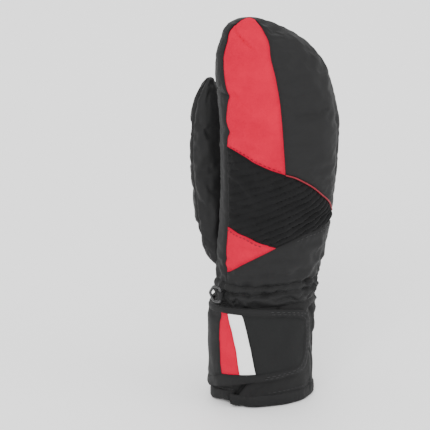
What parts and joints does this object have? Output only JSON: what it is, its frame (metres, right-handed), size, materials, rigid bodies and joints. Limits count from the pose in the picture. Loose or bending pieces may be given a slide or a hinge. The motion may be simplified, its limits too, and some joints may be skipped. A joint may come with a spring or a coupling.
{
  "type": "ski mitten",
  "caption": "Insulated ski mitten for the right hand with a separate thumb, ribbed knuckles, gathered wrist, long cuff with a fold-over closure strap and a small clip ring.",
  "frame": {"origin": "centre of the mitten's bounding box, at the cuff hem that it stands on", "axes": "+Z from the hem up the fingers; -X the thumb side, +X the little finger side; -Y the back of the hand, +Y the palm"},
  "size_m": [0.1024, 0.0876, 0.286],
  "materials": {
    "red_softshell": "woven matte",
    "black_softshell": "woven matte",
    "rib_knit": "quilted ribs, matte",
    "synthetic_leather_black": "fine grain, satin",
    "synthetic_leather_grey": "fine grain, satin",
    "stretch_knit": "ribbed stretch knit",
    "piping_red": "satin cord",
    "wadding": "loose fibre",
    "membrane": "thin film on tricot",
    "lining": "brushed tricot",
    "cuff_fabric": "woven nylon",
    "binding_tape": "woven tape",
    "elastic": "knitted elastic",
    "loop_fabric": "looped pile",
    "hook_tape": "fine hooks",
    "light_stripe": "satin reflective film",
    "webbing": "woven webbing",
    "clip_plastic": "moulded"
  },
  "bodies": {
    "hand": {"red_piping": "piping_red", "knuckle_rib_panel": "rib_knit", "red_wedge_panel": "red_softshell", "lower_back_panel": "synthetic_leather_black", "wrist_gather_panel": "black_softshell", "index_gusset": "black_softshell", "pinky_gusset": "black_softshell", "palm_flex_band": "stretch_knit", "palm_mid_patch": "synthetic_leather_grey", "palm_main_patch": "synthetic_leather_grey", "palm_heel_panel": "black_softshell", "wrist_elastic": "elastic", "insulation_back": "wadding", "insulation_palm": "wadding", "insulation_thumb_root": "wadding", "membrane_insert": "membrane", "hand_lining": "lining", "cuff_back_panel": "cuff_fabric", "cuff_side_panel": "cuff_fabric", "cuff_pleat_gusset": "cuff_fabric", "cuff_palm_panel": "cuff_fabric", "cuff_padding": "wadding", "cuff_lining": "lining", "hem_binding": "binding_tape", "cuff_loop_patch": "loop_fabric", "strap_base": "webbing", "hook_tab": "webbing"},
    "fingers": {"insulation_finger_back": "wadding", "insulation_finger_palm": "wadding", "red_upper_panel": "red_softshell", "back_upper_shell": "black_softshell", "tip_rim": "black_softshell", "palm_tip_patch": "synthetic_leather_grey"},
    "thumb": {"insulation_thumb": "wadding", "thumb_back_shell": "black_softshell", "thumb_palm_shell": "black_softshell"},
    "strap": {"strap_panel": "webbing", "strap_binding": "binding_tape", "strap_red_panel": "red_softshell", "strap_light_stripe": "light_stripe", "strap_end_panel": "cuff_fabric", "strap_hook_patch": "hook_tape"},
    "clip": {"hook_ring": "clip_plastic"}
  },
  "joints": [
    {"name": "finger_flex", "type": "hinge", "parent": "hand", "child": "fingers", "pos_m": [0.0053, -0.0082, 0.208], "axis": [-1, 0, 0], "range_deg": [-5, 25], "stiffness_Nm_per_rad": 1.2, "deforming": ["red_upper_panel", "back_upper_shell", "tip_rim", "palm_tip_patch", "palm_flex_band", "palm_mid_patch", "index_gusset", "pinky_gusset", "membrane_insert", "hand_lining"]},
    {"name": "thumb_open", "type": "hinge", "parent": "hand", "child": "thumb", "pos_m": [-0.04817, 0.03504, 0.158], "axis": [-0.6331, -0.7741, 0], "range_deg": [0, 25], "stiffness_Nm_per_rad": 0.8, "deforming": ["thumb_back_shell", "thumb_palm_shell", "membrane_insert", "hand_lining"]},
    {"name": "strap_open", "type": "hinge", "parent": "hand", "child": "strap", "pos_m": [-0.0478, -0.0015, 0.046], "axis": [0, 0, -1], "range_deg": [0, 110]},
    {"name": "clip_swing", "type": "hinge", "parent": "hand", "child": "clip", "pos_m": [-0.0421, -0.0219, 0.0854], "axis": [0, 0, 1], "range_deg": [0, 120]}
  ]
}
